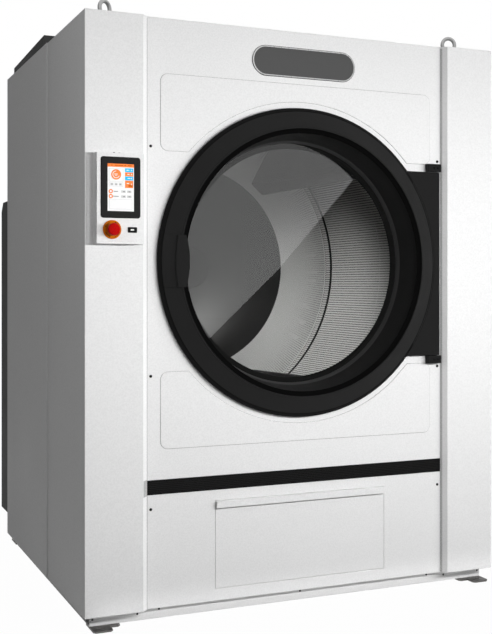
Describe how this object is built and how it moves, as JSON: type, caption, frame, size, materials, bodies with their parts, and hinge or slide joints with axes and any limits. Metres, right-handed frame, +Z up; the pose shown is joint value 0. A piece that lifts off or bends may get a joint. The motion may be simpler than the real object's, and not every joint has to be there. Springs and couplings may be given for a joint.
{
  "type": "industrial tumble dryer",
  "caption": "Floor-standing industrial tumble dryer with a round glazed door, belt-driven drum, touch screen control box, lint drawer, roof heater and rear exhaust fan.",
  "frame": {"origin": "on the floor under the middle of the machine's bounding box", "axes": "+Z up, the door faces -Y, +X to the right of a person facing the door"},
  "size_m": [1.576, 1.731, 2.0669],
  "materials": {
    "white_powder_coat": "fine textured powder coat",
    "dark_powder_coat": "satin powder coat",
    "galvanised_sheet": "zinc coated",
    "stainless": "brushed stainless",
    "matte_black_moulding": "fine matte grain",
    "gloss_black_moulding": "gloss",
    "dark_grey_moulding": "satin",
    "black_trim": "ribbed",
    "black_metal": "satin black",
    "door_glass": "clear tempered glass",
    "rubber": "matte",
    "felt": "felt",
    "cast_iron": "painted cast iron",
    "motor_grey": "machine enamel",
    "screen": "lit screen",
    "stop_red": "moulded",
    "stop_yellow": "moulded"
  },
  "bodies": {
    "cabinet": {"base_frame": "white_powder_coat", "foot_plates": "galvanised_sheet", "upper_frame": "dark_powder_coat", "bearing_beams": "dark_powder_coat", "left_pillar_cover": "white_powder_coat", "right_pillar_cover": "white_powder_coat", "left_side_panel": "white_powder_coat", "right_side_panel": "white_powder_coat", "front_upper_panel": "white_powder_coat", "front_lower_panel": "white_powder_coat", "trim_strip": "black_trim", "roof_panel": "white_powder_coat", "rear_panel": "galvanised_sheet", "lifting_eyes": "galvanised_sheet", "heater_housing": "dark_powder_coat", "heater_coil": "galvanised_sheet", "rear_housing": "dark_powder_coat", "exhaust_duct": "galvanised_sheet", "fan_scroll": "galvanised_sheet", "fan_motor": "motor_grey", "gear_motor": "motor_grey", "drive_belts": "rubber", "bearing_housing": "cast_iron", "shaft_bearings": "stainless", "door_collar": "stainless", "drum_felt_seal": "felt", "hinge_blocks": "black_metal", "hinge_pins": "stainless", "door_magnet": "galvanised_sheet", "control_box": "white_powder_coat", "control_box_cover": "white_powder_coat", "touch_bezel": "gloss_black_moulding", "touch_screen": "screen", "usb_socket": "matte_black_moulding", "estop_collar": "stop_yellow", "lint_plenum": "galvanised_sheet", "panel_screws": "black_metal"},
    "door": {"door_ring": "matte_black_moulding", "door_back_plate": "black_metal", "door_inner_cone": "gloss_black_moulding", "door_bezel": "dark_grey_moulding", "door_glass": "door_glass", "glass_gasket": "rubber", "glass_clamp_ring": "dark_grey_moulding", "door_seal": "rubber", "door_handle": "matte_black_moulding"},
    "drum": {"drum_shaft": "stainless", "drum_pulley": "cast_iron", "drum_spider": "stainless", "drum_rear_head": "stainless", "drum_shell": "stainless", "drum_front_plate": "stainless", "drum_lifters": "stainless"},
    "motor_rotor": {"motor_pulley": "cast_iron"},
    "fan_rotor": {"fan_impeller": "galvanised_sheet"},
    "lint_drawer": {"drawer_front": "white_powder_coat", "drawer_tray": "galvanised_sheet", "lint_screen": "stainless"},
    "stop_stem": {"estop_stem": "dark_grey_moulding"},
    "stop_cap": {"estop_cap": "stop_red"}
  },
  "joints": [
    {"name": "door_swing", "type": "hinge", "parent": "cabinet", "child": "door", "pos_m": [0.553, -0.7815, 1.19], "axis": [0, 0, 1], "range_deg": [0, 140]},
    {"name": "drum_spin", "type": "hinge", "parent": "cabinet", "child": "drum", "pos_m": [0, -0.1925, 1.19], "axis": [0, 1, 0], "continuous": true},
    {"name": "motor_spin", "type": "hinge", "parent": "cabinet", "child": "motor_rotor", "pos_m": [-0.57, 0.5955, 0.42], "axis": [0, 1, 0], "continuous": true},
    {"name": "fan_spin", "type": "hinge", "parent": "cabinet", "child": "fan_rotor", "pos_m": [0.33, 0.5675, 0.43], "axis": [0, 1, 0], "continuous": true},
    {"name": "drawer_slide", "type": "slide", "parent": "cabinet", "child": "lint_drawer", "axis": [0, -1, 0], "range_m": [0, 0.45]},
    {"name": "stop_push", "type": "slide", "parent": "cabinet", "child": "stop_stem", "axis": [0, 1, 0], "range_m": [0, 0.006], "stiffness_N_per_m": 400},
    {"name": "stop_twist", "type": "hinge", "parent": "stop_stem", "child": "stop_cap", "pos_m": [-0.707, -0.8525, 1.288], "axis": [0, 1, 0], "range_deg": [0, 45], "stiffness_Nm_per_rad": 0.05}
  ],
  "couplings": [
    {"joint": "motor_spin", "follows": "drum_spin", "ratio": 4.2}
  ]
}
